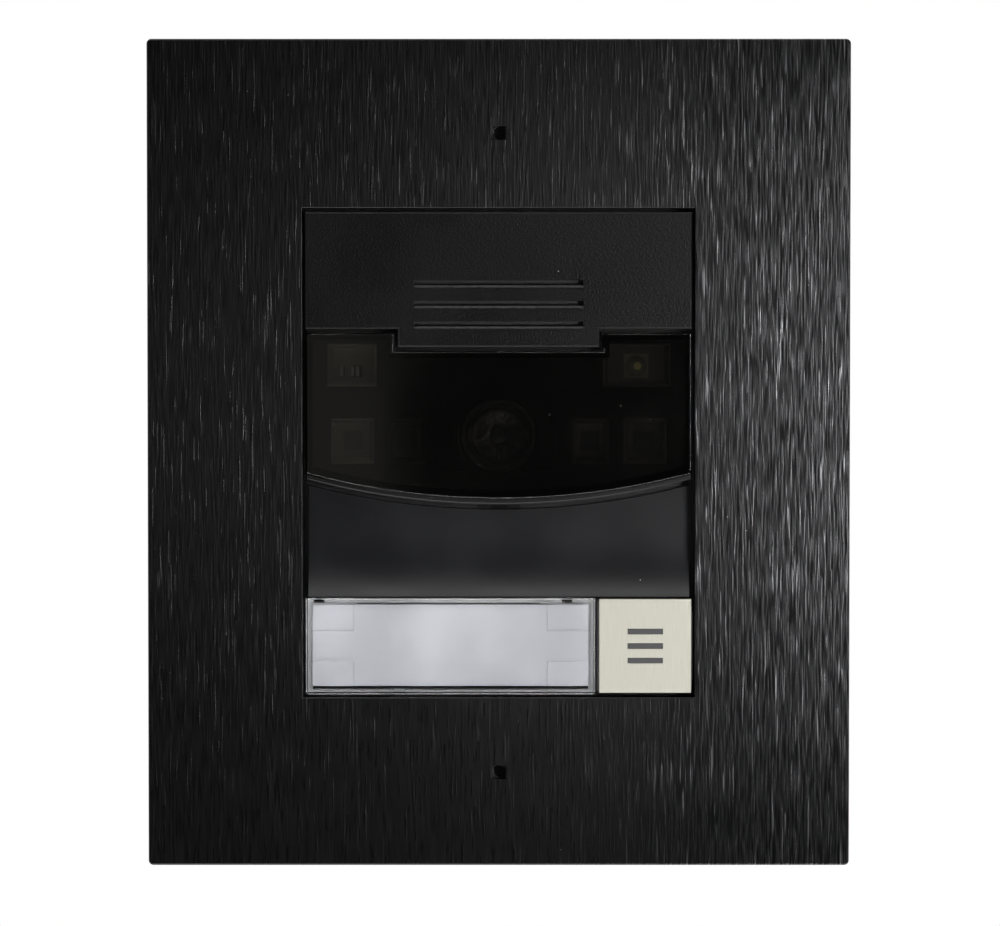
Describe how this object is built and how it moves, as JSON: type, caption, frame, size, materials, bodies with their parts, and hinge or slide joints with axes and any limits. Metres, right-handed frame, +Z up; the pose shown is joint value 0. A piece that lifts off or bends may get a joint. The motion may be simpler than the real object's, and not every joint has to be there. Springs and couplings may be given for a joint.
{
  "type": "video doorbell",
  "caption": "Flush-mounted video door station: brushed cover frame, wall box, speaker slots, smoked camera window, lit name plate and one call button.",
  "frame": {"origin": "middle of the cover frame, on the finished wall surface that the frame's back edge rests on", "axes": "+X to the right of a visitor who faces the unit, +Y into the wall, +Z up; the front faces -Y"},
  "size_m": [0.13, 0.05, 0.153],
  "materials": {
    "bezel_metal": "vertical brushed, black anodised",
    "zinc_steel": "zinc plated",
    "black_steel": "blackened",
    "brass": "turned",
    "foam": "closed-cell foam",
    "box_plastic": "moulded, satin",
    "black_plastic": "fine grain",
    "cover_plastic": "fine grain",
    "mesh": "black woven mesh",
    "rubber": "moulded",
    "magnet": "nickel plated",
    "paper_cone": "black film",
    "copper": "enamelled winding",
    "lead_insulation": "insulated lead",
    "smoked_window": "smoked gloss",
    "tape": "adhesive foam tape",
    "board_dark": "black solder mask",
    "board_green": "green solder mask",
    "lamp_clear": "clear epoxy",
    "lamp_white": "yellow phosphor",
    "chip_black": "moulded",
    "lens_glass": "coated glass",
    "microphone_can": "pressed can",
    "jack_metal": "tinned shield",
    "clear_plastic": "clear moulded plastic",
    "light_guide": "translucent white",
    "label_paper": "blank paper",
    "button_metal": "warm nickel, brushed",
    "carrier_plastic": "translucent grey",
    "plunger_plastic": "moulded",
    "aluminium": "plain",
    "relay_plastic": "moulded blue case",
    "gold": "gold flash",
    "terminal_green": "moulded green"
  },
  "bodies": {
    "unit": {"bezel_plate": "bezel_metal", "bezel_bridges": "zinc_steel", "bezel_screws": "black_steel", "bezel_inserts": "brass", "bezel_seal": "foam", "wall_box": "box_plastic", "pillar_inserts": "brass", "unit_screws": "zinc_steel", "chassis": "black_plastic", "case_seal": "foam", "rear_case": "black_plastic", "case_screws": "zinc_steel", "upper_cover": "cover_plastic", "speaker_mesh": "mesh", "speaker_seal": "rubber", "speaker_basket": "black_steel", "speaker_magnet": "magnet", "speaker_surround": "rubber", "speaker_leads": "lead_insulation", "camera_window": "smoked_window", "window_tape": "tape", "light_baffle": "black_plastic", "light_board": "board_dark", "infrared_lamps": "lamp_clear", "white_lamp": "lamp_white", "light_sensor": "chip_black", "lens_barrel": "black_plastic", "front_glass": "lens_glass", "lens_holder": "black_plastic", "camera_board": "board_dark", "image_sensor": "chip_black", "lower_cover": "cover_plastic", "microphone_boot": "rubber", "microphone": "microphone_can", "light_guide": "light_guide", "name_label": "label_paper", "key_board": "board_dark", "push_switch": "chip_black", "label_lamps": "lamp_white", "board_link": "chip_black", "main_board": "board_green", "processor": "chip_black", "heat_spreader": "aluminium", "lock_relay": "relay_plastic", "capacitors": "aluminium", "network_jack": "jack_metal", "jack_contacts": "gold", "terminal_header": "terminal_green", "reset_switch": "chip_black"},
    "call_button": {"button_face": "button_metal", "button_carrier": "carrier_plastic"},
    "switch_plunger": {"push_plunger": "plunger_plastic"},
    "reset_plunger": {"reset_plunger": "plunger_plastic"},
    "nameplate": {"nameplate_cover": "clear_plastic"},
    "speaker_cone": {"speaker_cone": "paper_cone", "voice_coil": "copper"},
    "wiring_plug": {"terminal_plug": "terminal_green", "clamp_screws": "zinc_steel"}
  },
  "joints": [
    {"name": "call_button_press", "type": "slide", "parent": "unit", "child": "call_button", "axis": [0, 1, 0], "range_m": [0, 0.001], "stiffness_N_per_m": 1200, "springref_m": -0.0004},
    {"name": "switch_plunger_travel", "type": "slide", "parent": "unit", "child": "switch_plunger", "axis": [0, 1, 0], "range_m": [0, 0.001]},
    {"name": "reset_press", "type": "slide", "parent": "unit", "child": "reset_plunger", "axis": [0, -1, 0], "range_m": [0, 0.0003], "stiffness_N_per_m": 3000, "springref_m": -0.0002},
    {"name": "nameplate_lift", "type": "slide", "parent": "unit", "child": "nameplate", "axis": [0, -1, 0], "range_m": [0, 0.012]},
    {"name": "speaker_cone_travel", "type": "slide", "parent": "unit", "child": "speaker_cone", "axis": [0, -1, 0], "range_m": [-0.0003, 0.0003], "stiffness_N_per_m": 900, "deforming": ["speaker_surround"]},
    {"name": "wiring_plug_pull", "type": "slide", "parent": "unit", "child": "wiring_plug", "axis": [0, 0, -1], "range_m": [0, 0.012]}
  ],
  "couplings": [
    {"joint": "switch_plunger_travel", "follows": "call_button_press", "ratio": 1}
  ]
}
